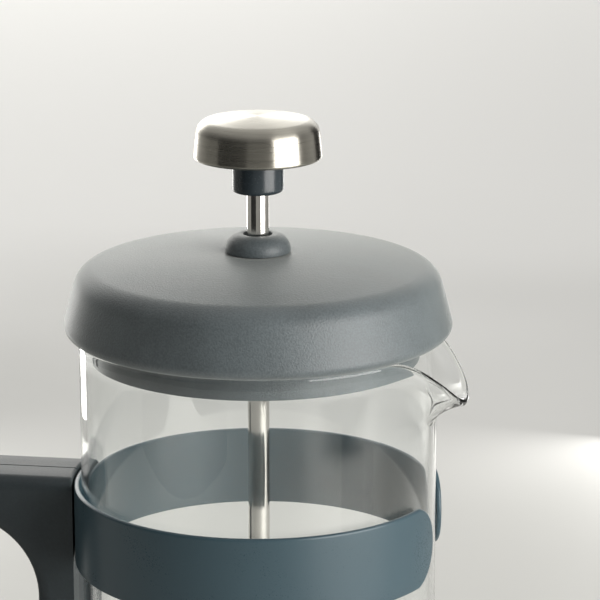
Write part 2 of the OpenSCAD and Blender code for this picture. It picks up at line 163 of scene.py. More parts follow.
class Graph:
    """The nodes of one material or world."""

    def __init__(self, owner: bpy.types.ID) -> None:
        """Empties the owner's node tree.

        Args:
            owner: A material or world.
        """
        owner.use_nodes = True
        self.tree = owner.node_tree
        self.tree.nodes.clear()

    def node(
        self, kind: str, settings: dict[str, Any] | None = None, inputs: dict[Any, Any] | None = None
    ) -> Any:
        """Adds a node.

        Args:
            kind: The node's type.
            settings: Its properties, such as a Math node's operation, which are set first.
            inputs: Numbers, colours or links for its sockets, by name or number.

        Returns:
            The node.
        """
        made = self.tree.nodes.new(kind)
        for name, value in (settings or {}).items():
            setattr(made, name, value)
        for name, value in (inputs or {}).items():
            if isinstance(value, Value):
                value = value.socket
            if isinstance(value, bpy.types.NodeSocket):
                self.tree.links.new(value, made.inputs[name])
            elif isinstance(value, tuple) and made.inputs[name].type == "RGBA":
                made.inputs[name].default_value = (*value[:3], 1.0)
            else:
                made.inputs[name].default_value = value
        return made

    @functools.cached_property
    def place(self) -> bpy.types.NodeSocket:
        """Object coordinates, in metres."""
        return self.node("ShaderNodeTexCoord").outputs["Object"]

    @functools.cached_property
    def axes(self) -> tuple[Value, Value, Value]:
        """Object coordinates as three values."""
        parts = self.node("ShaderNodeSeparateXYZ", None, {0: self.place})
        return tuple(Value(self, socket) for socket in parts.outputs)

    def vector(self, x: Value | float, y: Value | float, z: Value | float) -> bpy.types.NodeSocket:
        """A vector from three values."""
        return self.node("ShaderNodeCombineXYZ", None, {0: x, 1: y, 2: z}).outputs[0]

    def radius(self) -> Value:
        """Distance from the Z axis."""
        x, y, _ = self.axes
        return (x * x + y * y).math("SQRT")

    def noise(self, size: float, detail: float = 2.0, at: bpy.types.NodeSocket | None = None) -> Value:
        """Soft noise from 0 to 1.

        Args:
            size: The size of its features, in metres, or in the units of at.
            detail: How many finer layers it has.
            at: Where it is read, if not at Object coordinates.

        Returns:
            The noise.
        """
        node = self.node(
            "ShaderNodeTexNoise", None, {"Vector": at or self.place, "Scale": 1.0 / size, "Detail": detail}
        )
        return Value(self, node.outputs[0])

    def blend(self, share: Value, low: Colour, high: Colour) -> bpy.types.NodeSocket:
        """A colour between two.

        Args:
            share: 0 for the first colour, 1 for the second.
            low: The first colour.
            high: The second colour.

        Returns:
            The colour's socket.
        """
        node = self.node("ShaderNodeMix", {"data_type": "RGBA"}, {0: share, 6: (*low, 1.0), 7: (*high, 1.0)})
        return node.outputs[2]

    def relief(self, height: Value, depth: float) -> bpy.types.NodeSocket:
        """A normal from a height.

        Args:
            height: The height, from 0 to 1.
            depth: What a height of 1 is, in metres.

        Returns:
            The normal's socket.
        """
        inputs = {"Strength": 1.0, "Distance": depth, "Height": height}
        return self.node("ShaderNodeBump", None, inputs).outputs[0]

    def finish(self, shader: bpy.types.NodeSocket) -> None:
        """Sends a shader to the material's output."""
        self.node("ShaderNodeOutputMaterial", None, {0: shader})


def shade(colour: Colour, factor: float) -> Colour:
    """A colour made brighter or darker."""
    return tuple(min(part * factor, 1.0) for part in colour)


@dataclass(frozen=True)
class Finish:
    """A named finish. Each kind builds its own nodes."""

    name: str

    def principled(self, graph: Graph, inputs: dict[str, Any]) -> bpy.types.NodeSocket:
        """A Principled shader with these sockets."""
        return graph.node("ShaderNodeBsdfPrincipled", None, inputs).outputs[0]

    def build(self, graph: Graph) -> None:
        """Builds the finish's nodes."""
        raise NotImplementedError

    @functools.cache
    def material(self) -> bpy.types.Material:
        """The finish's material, made once."""
        made = bpy.data.materials.new(self.name)
        self.build(Graph(made))
        return made


@dataclass(frozen=True)
class MouldedPlastic(Finish):
    """Moulded plastic with a spark-eroded grain: fine pits, a slow mottle and a sheen that varies."""

    colour: Colour = (0.1, 0.12, 0.13)
    roughness: float = 0.45
    grain: float = 0.7 * MM
    depth: float = 0.05 * MM
    drift: float = 14 * MM
    mottle: float = 0.07
    gloss: float = 0.5
    sheen: float = 0.0
    sheen_tint: Colour = (0.93, 0.95, 0.9)

    def build(self, graph: Graph) -> None:
        """Grain in the normal, speckle in the colour and in the roughness."""
        pits = graph.noise(self.grain, 3.0)
        slow = graph.noise(self.drift, 2.0)
        tone = pits.between(*BAND) * 0.6 + slow.between(*BAND) * 0.4
        dark, light = shade(self.colour, 1 - self.mottle), shade(self.colour, 1 + self.mottle)
        graph.finish(self.principled(graph, {
            "Base Color": graph.blend(tone, dark, light),
            "Roughness": (pits - 0.5) * 0.16 + (slow - 0.5) * 0.08 + self.roughness,
            "Specular IOR Level": self.gloss,
            "Sheen Weight": self.sheen,
            "Sheen Roughness": 0.5,
            "Sheen Tint": self.sheen_tint,
            "Normal": graph.relief(pits, self.depth),
        }))


@dataclass(frozen=True)
class SatinPaint(Finish):
    """Baked paint on steel: a soft orange peel, and a sheen that varies slowly."""

    colour: Colour = (0.1, 0.13, 0.145)
    roughness: float = 0.34
    peel: float = 1.1 * MM
    depth: float = 0.006 * MM
    fleck: float = 0.35 * MM
    drift: float = 22 * MM

    def build(self, graph: Graph) -> None:
        """Orange peel in the normal, slow drift in colour and roughness."""
        peel = graph.noise(self.peel, 2.0)
        fleck = graph.noise(self.fleck, 1.0)
        slow = graph.noise(self.drift, 3.0)
        tone = fleck.between(0.35, 0.65) * 0.5 + slow.between(*BAND) * 0.5
        graph.finish(self.principled(graph, {
            "Base Color": graph.blend(tone, shade(self.colour, 0.95), shade(self.colour, 1.05)),
            "Roughness": (fleck - 0.5) * 0.1 + (slow - 0.5) * 0.12 + self.roughness,
            "Normal": graph.relief(peel, self.depth),
        }))


@dataclass(frozen=True)
class ClearGlass(Finish):
    """Clear borosilicate glass with the faint waves of drawn tube. Its shadow is that of a clear pane."""

    tint: Colour = (0.985, 0.995, 0.99)
    wave: float = 9 * MM
    draw: float = 5.0
    depth: float = 0.012 * MM
    index: float = 1.48
    passed: float = 0.95

    def build(self, graph: Graph) -> None:
        """Glass for sight, and a clear pane for the rays that look for lamps."""
        x, y, z = graph.axes
        along = z / (self.draw * self.wave)
        waves = graph.noise(1.0, 1.0, graph.vector(x / self.wave, y / self.wave, along))
        glass = self.principled(graph, {
            "Base Color": self.tint,
            "Roughness": 0.0,
            "IOR": self.index,
            "Transmission Weight": 1.0,
            "Normal": graph.relief(waves, self.depth),
        })
        pane = graph.node("ShaderNodeBsdfTransparent", None, {0: shade(self.tint, self.passed)}).outputs[0]
        lamps = graph.node("ShaderNodeLightPath").outputs["Is Shadow Ray"]
        graph.finish(graph.node("ShaderNodeMixShader", None, {0: lamps, 1: glass, 2: pane}).outputs[0])


@dataclass(frozen=True)
class TurnedSteel(Finish):
    """Stainless steel brushed on a lathe: fine rings round the axis, which stretch highlights across them."""

    colour: Colour = (0.45, 0.43, 0.38)
    roughness: float = 0.3
    line: float = 0.12 * MM
    coarse: float = 0.96 * MM
    wander: float = 40.0
    smear: float = 11 * MM
    depth: float = 0.004 * MM
    stretch: float = 0.9

    def build(self, graph: Graph) -> None:
        """Noise read on (radius, bearing, height), so that its features are rings."""
        x, y, z = graph.axes
        radius = graph.radius()
        lines = graph.noise(1.0, 4.0, graph.vector(
            radius / self.line, x / radius + radius * self.wander, z / self.line + y / radius))
        broad = graph.noise(1.0, 2.0, graph.vector(
            radius / self.coarse, x / radius * 1.5, z / self.coarse + y / radius * 1.5))
        smear = graph.noise(self.smear, 2.0)
        tone = lines.between(*BAND) * 0.6 + broad.between(*BAND) * 0.4
        graph.finish(self.principled(graph, {
            "Base Color": graph.blend(tone, shade(self.colour, 0.88), shade(self.colour, 1.08)),
            "Metallic": 1.0,
            "Roughness": (lines - 0.5) * 0.16 + (smear - 0.5) * 0.1 + self.roughness,
            "Anisotropic": self.stretch,
            "Anisotropic Rotation": 0.25,
            "Normal": graph.relief(lines, self.depth),
        }))


@dataclass(frozen=True)
class PolishedSteel(Finish):
    """Polished stainless steel with faint drawn lines along Z and a light smear."""

    colour: Colour = (0.72, 0.70, 0.67)
    roughness: float = 0.1
    line: float = 0.25 * MM
    length: float = 15 * MM
    smear: float = 6 * MM
    depth: float = 0.0015 * MM

    def build(self, graph: Graph) -> None:
        """Lines along Z in the roughness and the normal."""
        x, y, z = graph.axes
        lines = graph.noise(1.0, 2.0, graph.vector(x / self.line, y / self.line, z / self.length))
        smear = graph.noise(self.smear, 3.0)
        dark, light = shade(self.colour, 0.95), shade(self.colour, 1.03)
        graph.finish(self.principled(graph, {
            "Base Color": graph.blend(smear.between(*BAND), dark, light),
            "Metallic": 1.0,
            "Roughness": (lines - 0.5) * 0.08 + (smear - 0.5) * 0.08 + self.roughness,
            "Normal": graph.relief(lines, self.depth),
        }))


@dataclass(frozen=True)
class WovenGauze(Finish):
    """Fine stainless gauze: two sets of wires, over and under, with painted shade in the gaps between them.
    """

    colour: Colour = (0.6, 0.59, 0.56)
    roughness: float = 0.34
    pitch: float = 0.5 * MM
    smear: float = 7 * MM
    depth: float = 0.06 * MM

    def build(self, graph: Graph) -> None:
        """Two crossed sine waves. Their product says which wire is on top, and their troughs are the gaps,
        painted dark as shade.
        """
        x, y, z = graph.axes
        turn = 2 * math.pi / self.pitch
        across = ((x + z) * turn).math("SINE")
        along = ((y - z) * turn).math("SINE")
        wires = across.math("MAXIMUM", along)
        smear = graph.noise(self.smear, 2.0)
        graph.finish(self.principled(graph, {
            # Painted shade: the troughs between the wires are darkened to 12% of the steel's colour.
            "Base Color": graph.blend(wires.between(-0.6, 0.3), shade(self.colour, 0.12), self.colour),
            "Metallic": 1.0,
            "Roughness": (smear - 0.5) * 0.14 + self.roughness,
            "Normal": graph.relief(wires * 0.5 + across * along * 0.2 + 0.5, self.depth),
        }))


@dataclass(frozen=True)
class TurnedBrass(Finish):
    """Brass from the lathe, a little dulled."""

    colour: Colour = (0.72, 0.5, 0.2)
    ring: float = 0.4 * MM
    patch: float = 2.5 * MM
    depth: float = 0.02 * MM

    def build(self, graph: Graph) -> None:
        """Fine rings along Y and Z, and tarnish in slow patches."""
        _, y, z = graph.axes
        rings = ((y + z) * (2 * math.pi / self.ring)).math("SINE")
        patches = graph.noise(self.patch, 3.0)
        graph.finish(self.principled(graph, {
            "Base Color": graph.blend(patches.between(0.35, 0.7), self.colour, shade(self.colour, 0.6)),
            "Metallic": 1.0,
            "Roughness": patches * 0.2 + 0.2,
            "Normal": graph.relief(rings * 0.5 + 0.5, self.depth),
        }))


@dataclass(frozen=True)
class StudioFloor(Finish):
    """A pale floor with painted shade: greyer near the press, painted brighter away from it, and mottled very
    softly.
    """

    # near is painted shade close to the press; far is painted light away from it.
    near: Colour = (0.6, 0.6, 0.575)
    far: Colour = (0.97, 0.965, 0.95)
    painted_shade_y: float = 0.2
    painted_light_y: float = 1.0
    cloud: float = 0.35
    waver: float = 0.7
    grain: float = 0.02
    roughness: float = 0.6
    gloss: float = 0.2

    def build(self, graph: Graph) -> None:
        """Painted shade and light: darker near the press and brightening away from it, with broad soft clouds
        in the gradient's edge.
        """
        _, y, _ = graph.axes
        clouds = graph.noise(self.cloud, 1.5)
        fine = graph.noise(self.grain, 3.0)
        # Painted shade: the colour runs from the dark near colour to the bright far colour with distance from
        # the press.
        share = (y + (clouds - 0.5) * self.waver).between(self.painted_shade_y, self.painted_light_y)
        graph.finish(self.principled(graph, {
            "Base Color": graph.blend(share, self.near, self.far),
            "Roughness": (fine - 0.5) * 0.06 + self.roughness,
            "Specular IOR Level": self.gloss,
        }))


# ---- Surfaces ----


def arc(x: float, z: float, radius: float, start: float, end: float, steps: int) -> Array:
    """Points of a circular arc: centre plus radius times (cosine, sine) of an angle that runs evenly.

    Args:
        x: The centre's first coordinate.
        z: The centre's second coordinate.
        radius: The radius.
        start: The first angle, in degrees.
        end: The last angle, in degrees.
        steps: How many chords.

    Returns:
        An array of (steps + 1, 2).
    """
    angle = np.radians(np.linspace(start, end, steps + 1))
    return np.stack([x + radius * np.cos(angle), z + radius * np.sin(angle)], axis=-1)


def path(*runs: Array | Sequence[float], spacing: float = 0.0) -> Array:
    """Joins points and arcs into one profile, and drops points that repeat the one before.

    Args:
        runs: Arrays of points, or single points.
        spacing: If above 0, straight stretches longer than this are divided into steps of about it.

    Returns:
        An array of (n, 2).
    """
    points = np.concatenate([np.atleast_2d(np.asarray(run, float)) for run in runs])
    fresh = np.linalg.norm(np.diff(points, axis=0), axis=1) > SAME_POINT
    points = points[np.concatenate([[True], fresh])]
    if spacing > 0:
        lengths = np.linalg.norm(np.diff(points, axis=0), axis=1)
        steps = np.maximum(np.ceil(lengths / spacing), 1).astype(int)
        start = np.repeat(points[:-1], steps, axis=0)
        move = np.repeat(np.diff(points, axis=0) / steps[:, None], steps, axis=0)
        order = np.arange(steps.sum()) - np.repeat(np.cumsum(steps) - steps, steps)
        points = np.concatenate([start + move * order[:, None], points[-1:]])
    return points


@dataclass
class Skin:
    """A closed surface as vertices and faces."""

    vertices: Array
    quads: Array
    triangles: Array = field(default_factory=lambda: np.zeros((0, 3), int))

    @classmethod
    def from_grid(
        cls, grid: Array, loop: bool = False, first_pole: bool = False, last_pole: bool = False
    ) -> "Skin":
        """Joins each grid point to its neighbours. Columns always close on themselves.

        Args:
            grid: Points, as (rows, columns, 3).
            loop: True if the last row joins the first.
            first_pole: True if the first row is one point.
            last_pole: True if the last row is one point.

        Returns:
            The skin.
        """
        rows, columns = grid.shape[:2]
        index = np.arange(rows * columns).reshape(rows, columns)
        index = np.concatenate([index, index[:1]]) if loop else index
        beside = np.roll(index, -1, axis=1)
        body = slice(int(first_pole), len(index) - 1 - int(last_pole))
        above = slice(body.start + 1, body.stop + 1)
        quads = np.stack([index[body], beside[body], beside[above], index[above]], -1)
        fans = []
        if first_pole:
            fans.append(np.stack([np.full(columns, index[0, 0]), beside[1], index[1]], -1))
        if last_pole:
            fans.append(np.stack([index[-2], beside[-2], np.full(columns, index[-1, 0])], -1))
        triangles = np.concatenate(fans) if fans else np.zeros((0, 3), int)
        return cls(grid.reshape(-1, 3), quads.reshape(-1, 4), triangles).tidied()

    @classmethod
    def lathe(cls, profile: Array, columns: int = 192) -> "Skin":
        """Turns a profile round the Z axis: (radius cos a, radius sin a, height).

        Args:
            profile: Points of (radius, height). Ends on the axis are poles; otherwise the profile is a loop.
            columns: How many steps round.

        Returns:
            The skin.
        """
        angle = np.linspace(0, 2 * math.pi, columns, endpoint=False)
        ring = np.stack([np.cos(angle), np.sin(angle)], -1)
        flat = profile[:, None, :1] * ring[None]
        grid = np.concatenate([flat, np.broadcast_to(profile[:, None, 1:], (*flat.shape[:2], 1))], -1)
        poles = [abs(profile[0, 0]) < 1e-9, abs(profile[-1, 0]) < 1e-9]
        return cls.from_grid(grid, not any(poles), *poles)

    def tidied(self) -> "Skin":
        """Drops unused vertices, and turns the faces outwards if the enclosed volume comes out negative."""
        corners = np.concatenate([self.quads.ravel(), self.triangles.ravel()])
        used, order = np.unique(corners, return_inverse=True)
        quads = order[: self.quads.size].reshape(-1, 4)
        triangles = order[self.quads.size:].reshape(-1, 3)
        points = self.vertices[used]
        halves = np.concatenate([quads[:, [0, 1, 2]], quads[:, [0, 2, 3]], triangles])
        a, b, c = (points[halves[:, k]] for k in range(3))
        if np.einsum("ij,ij->i", a, np.cross(b, c)).sum() < 0:
            quads, triangles = quads[:, ::-1], triangles[:, ::-1]
        return Skin(points, quads, triangles)

    def __add__(self, other: "Skin") -> "Skin":
        """Two skins as one."""
        shift = len(self.vertices)
        return Skin(
            np.concatenate([self.vertices, other.vertices]),
            np.concatenate([self.quads, other.quads + shift]),
            np.concatenate([self.triangles, other.triangles + shift]),
        )

    def mesh(self, name: str) -> bpy.types.Mesh:
        """A Blender mesh, smooth except where faces turn by more than the crease angle."""
        made = bpy.data.meshes.new(name)
        made.vertices.add(len(self.vertices))
        made.vertices.foreach_set("co", self.vertices.astype(np.float32).ravel())
        corners = np.concatenate([self.quads.ravel(), self.triangles.ravel()]).astype(np.int32)
        sizes = np.repeat([4, 3], [len(self.quads), len(self.triangles)]).astype(np.int32)
        made.loops.add(len(corners))
        made.loops.foreach_set("vertex_index", corners)
        made.polygons.add(len(sizes))
        made.polygons.foreach_set("loop_start", (np.cumsum(sizes) - sizes).astype(np.int32))
        made.update(calc_edges=True)
        made.polygons.foreach_set("use_smooth", np.ones(len(sizes), bool))
        made.set_sharp_from_angle(angle=math.radians(CREASE))
        made.validate()
        return made


def dome(radius: float, height: float, foot: float, taper: float, fillet: float, crown: float,
         inset: float, start: float, base: float) -> tuple[Array, Array]:
    """Outline of a domed cap: a crown arc, a shoulder arc tangent to it and to a leaning side, a foot arc.

    Args:
        radius: The greatest radius.
        height: The height of the crown over the foot.
        foot: The radius of the lower edge.
        taper: The side's lean, in degrees.
        fillet: The radius of the shoulder.
        crown: The radius of the crown.
        inset: How far the outline is drawn in.
        start: The radius where the crown arc begins.
        base: The height of the foot.

    Returns:
        The crown and shoulder from start outwards, and the foot downwards.
    """
    lean = math.radians(taper)
    side, level = radius - foot * (1 - math.cos(lean)), foot * (1 + math.sin(lean))
    slope, middle, reach = math.tan(lean), height - crown, crown - fillet
    offset = side + level * slope - fillet / math.cos(lean)
    square, part = 1 + slope ** 2, offset * slope + middle
    rise = (part + math.sqrt(part ** 2 - square * (offset ** 2 + middle ** 2 - reach ** 2))) / square
    centre = offset - slope * rise
    turn = 90 - math.degrees(math.asin(centre / reach))
    first = 90 - math.degrees(math.asin(start / (crown - inset)))
    over = arc(0, middle, crown - inset, first, turn, 24)
    top = path(over, arc(centre, rise, fillet - inset, turn, taper, 20))
    low = arc(radius - foot, foot, max(foot - inset, 0.05 * MM), taper, -90, 10)
    return top + (0, base), low + (0, base)


def disc(radius: float, low: float, high: float, edge: float) -> Array:
    """Profile of a disc with rounded edges, from its lower pole to its upper one."""
    turn = radius - edge
    return path(
        [0, low], arc(turn, low + edge, edge, -90, 0, 8), arc(turn, high - edge, edge, 0, 90, 8), [0, high],
        spacing=4 * MM,
    )


def drill(target: bpy.types.Object, cutters: Iterable[Skin]) -> None:
    """Takes cutters out of a piece, and applies the result to its mesh.

    Args:
        target: The piece.
        cutters: Closed skins.
    """
    whole = functools.reduce(lambda a, b: a + b, cutters)
    tool = bpy.data.objects.new("tool", whole.mesh("tool"))
    bpy.context.scene.collection.objects.link(tool)
    cut = target.modifiers.new("cut", "BOOLEAN")
    cut.operation, cut.solver, cut.object = "DIFFERENCE", "EXACT", tool
    bpy.context.view_layer.update()
    shaped = target.evaluated_get(bpy.context.evaluated_depsgraph_get())
    old, target.data = target.data, bpy.data.meshes.new_from_object(shaped)
    target.modifiers.clear()
    target.data.set_sharp_from_angle(angle=math.radians(CREASE))
    bpy.data.objects.remove(tool)
    bpy.data.meshes.remove(old)


def block(low: Sequence[float], high: Sequence[float], bearing: float) -> Skin:
    """A box between two corners, turned about the Z axis by a bearing in degrees."""
    x = np.array([low[0], high[0], high[0], low[0]])
    y = np.array([low[1], low[1], high[1], high[1]])
    grid = np.stack([np.stack([x, y, np.full(4, z)], -1) for z in (low[2], high[2])])
    middle = grid.mean(axis=1, keepdims=True)
    grid = np.concatenate([np.repeat(middle[:1], 4, 1), grid, np.repeat(middle[1:], 4, 1)])
    a = math.radians(bearing)
    turn = np.array([[math.cos(a), math.sin(a), 0], [-math.sin(a), math.cos(a), 0], [0, 0, 1]])
    return Skin.from_grid(grid @ turn, False, True, True)


def peg(x: float, z: float, radius: float, y_low: float, y_high: float) -> Skin:
    """A round peg along Y at (x, z)."""
    skin = Skin.lathe(path([0, y_low], [radius, y_low], [radius, y_high], [0, y_high]), 48)
    x_new, y_new, z_new = skin.vertices[:, 0] + x, skin.vertices[:, 2], z - skin.vertices[:, 1]
    return Skin(np.stack([x_new, y_new, z_new], -1), skin.quads, skin.triangles).tidied()


# ---- Sub-assemblies ----


class Slot(Enum):
    """The record's material slots."""

    GLASS = "beaker_glass"
    PAINT = "painted_steel"
    SILICONE = "silicone"
    HANDLE = "handle_plastic"
    LID = "lid_plastic"
    COLLAR = "collar_plastic"
    BRUSHED = "brushed_steel"
    BRIGHT = "bright_steel"
    GAUZE = "steel_gauze"
    BRASS = "brass"


FINISHES: dict[Slot, Finish] = {
    Slot.GLASS: ClearGlass("clear_glass"),
    Slot.PAINT: SatinPaint("slate_paint", colour=(0.04, 0.073, 0.091), roughness=0.3, depth=0.003 * MM),
    Slot.SILICONE: MouldedPlastic(
        "silicone", colour=(0.035, 0.04, 0.045), roughness=0.62, grain=0.4 * MM, depth=0.02 * MM),
    Slot.HANDLE: MouldedPlastic(
        "handle_plastic", colour=(0.037, 0.046, 0.051), roughness=0.46, depth=0.035 * MM, gloss=0.3),
    Slot.LID: MouldedPlastic(
        "lid_plastic", colour=(0.08, 0.098, 0.106), roughness=0.47, grain=0.5 * MM, depth=0.1 * MM,
        mottle=0.25, gloss=0.65, sheen=0.35),
    Slot.COLLAR: MouldedPlastic(
        "collar_plastic", colour=(0.028, 0.038, 0.045), roughness=0.24, depth=0.006 * MM, mottle=0.03),
    Slot.BRUSHED: TurnedSteel("turned_steel"),
    Slot.BRIGHT: PolishedSteel("polished_steel"),
    Slot.GAUZE: WovenGauze("woven_gauze"),
    Slot.BRASS: TurnedBrass("turned_brass"),
}


@dataclass
class SubAssembly:
    """Pieces that ride on one body."""

    body: str

    def add(self, name: str, skin: Skin, slot: Slot, *nodes: str) -> bpy.types.Object:
        """Adds a piece that stands for CAD nodes.

        Args:
            name: The piece's name.
            skin: Its surface.
            slot: Its material slot.
            nodes: The CAD nodes that it stands for.

        Returns:
            The piece.
        """
        piece = bpy.data.objects.new(name, skin.mesh(name))
        piece.data.materials.append(FINISHES[slot].material())
        bpy.context.scene.collection.objects.link(piece)
        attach(piece, self.body)
        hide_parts(*nodes)
        log.info("%s: %d vertices on %s, for %s", name, len(skin.vertices), self.body, ", ".join(nodes))
        return piece

    def dress(self, nodes: dict[str, bpy.types.Object], *names: str, slot: Slot) -> None:
        """Gives CAD nodes that stay as they are a procedural finish.

        Args:
            nodes: The frame's nodes.
            names: Which ones.
            slot: Their material slot.
        """
        for name in names:
            if not nodes[name].material_slots:
                nodes[name].data.materials.append(None)
            for place in nodes[name].material_slots:
                place.material = FINISHES[slot].material()
            log.info("%s: kept, in %s", name, slot.value)


@dataclass
class Beaker(SubAssembly):
    """The glass beaker, with a rolled rim and a pulled, drooping lip towards +X."""

    outer: float = 49 * MM
    wall: float = 1.8 * MM
    bottom: float = 4.8 * MM
    floor: float = 7.2 * MM
    corner: float = 10 * MM
    rim: float = 178 * MM
    bead: float = 1.25 * MM
    bead_centre: float = 48.35 * MM
    lip_reach: float = 56.54 * MM
    lip_drop: float = 16.2 * MM
    lip_side: float = 22.7
    lip_power: float = 2.94
    drop_side: float = 20.8
    drop_power: float = 2.37
    lip_end: float = 40.0
    turn_down: tuple[float, float] = (1.8 * MM, 0.26 * MM)
    root_down: tuple[float, float] = (3.0 * MM, 0.12 * MM)
    swell: float = 0.72
    crowding: float = 0.75
    rings: tuple[float, ...] = (60 * MM, 105 * MM, 140 * MM)

    def bearings(self, columns: int = 320) -> Array:
        """Bearings round the axis, packed closer near the lip: t minus the crowding times sine t."""
        t = np.linspace(-math.pi, math.pi, columns, endpoint=False)
        return t - self.crowding * np.sin(t)

    def middle_line(self, bearing: Array, steps: int = 34) -> tuple[Array, Array]:
        """Middle of the wall from below the lip to the rim, as a curve of second degree for each bearing.

        The lip's reach and its drop both fade away from its middle, each as exp(-(bearing / side) ^ power).
        The curve's middle point lies under the rim, and its root under that, by more as the bearing grows.

        Args:
            bearing: Bearings, in radians.
            steps: How many steps up the curve.

        Returns:
            Radii and heights, each as (steps + 1, bearings).
        """
        near = np.abs(np.degrees(bearing))
        pulled = np.exp(-((near / self.lip_side) ** self.lip_power))
        plan = self.bead_centre + (self.lip_reach - self.bead_centre) * pulled
        top = self.rim - self.bead - self.lip_drop * np.exp(-((near / self.drop_side) ** self.drop_power))
        from_lip = np.minimum(near, self.lip_end)
        turn = top - (self.turn_down[0] + self.turn_down[1] * from_lip)
        root = turn - (self.root_down[0] + self.root_down[1] * from_lip)
        wall = self.outer - self.wall / 2
        t = np.linspace(0, 1, steps + 1)[:, None]
        radius = (1 - t) ** 2 * wall + 2 * t * (1 - t) * wall + t ** 2 * plan
        height = (1 - t) ** 2 * root + 2 * t * (1 - t) * turn + t ** 2 * top
        return radius, height

    def skin(self) -> Skin:
        """Outside from the pole under the floor, up the wall, over the bead at the rim, and down inside."""
        bearing = self.bearings()
        radius, height = self.middle_line(bearing)
        along_r, along_h = np.gradient(radius, axis=0), np.gradient(height, axis=0)
        length = np.hypot(along_r, along_h)
        out_r, out_h = along_h / length, -along_r / length
        t = np.linspace(0, 1, len(radius))[:, None]
        swelling = np.clip((t - self.swell) / (1 - self.swell), 0, 1) ** 2
        thick = self.wall / 2 + (self.bead - self.wall / 2) * swelling
        end = np.radians(np.linspace(0, 180, 13))[1:-1, None]
        cap_r = radius[-1] + self.bead * (np.cos(end) * out_r[-1] + np.sin(end) * along_r[-1] / length[-1])
        cap_h = height[-1] + self.bead * (np.cos(end) * out_h[-1] + np.sin(end) * along_h[-1] / length[-1])
        inside, inner = self.outer - self.wall, self.corner - self.wall
        bend = arc(self.outer - self.corner, self.bottom + self.corner, self.corner, -90, 0, 14)
        under = path([0, self.bottom], bend, [[self.outer, z] for z in self.rings], spacing=18 * MM)
        bend = arc(inside - inner, self.floor + inner, inner, 0, -90, 12)
        within = path([[inside, z] for z in self.rings[::-1]], bend, [0, self.floor], spacing=18 * MM)

        even = np.ones_like(bearing)
        rows_r, rows_h = (
            np.concatenate([
                under[:, axis, None] * even, middle + thick * out, cap, (middle - thick * out)[::-1],
                within[:, axis, None] * even])
            for axis, middle, out, cap in ((0, radius, out_r, cap_r), (1, height, out_h, cap_h))
        )
        grid = np.stack([rows_r * np.cos(bearing), rows_r * np.sin(bearing), rows_h], -1)
        return Skin.from_grid(grid, False, True, True)

    def build(self) -> None:
        """Adds the beaker."""
        self.add("beaker_glass_body", self.skin(), Slot.GLASS, "glass_beaker")


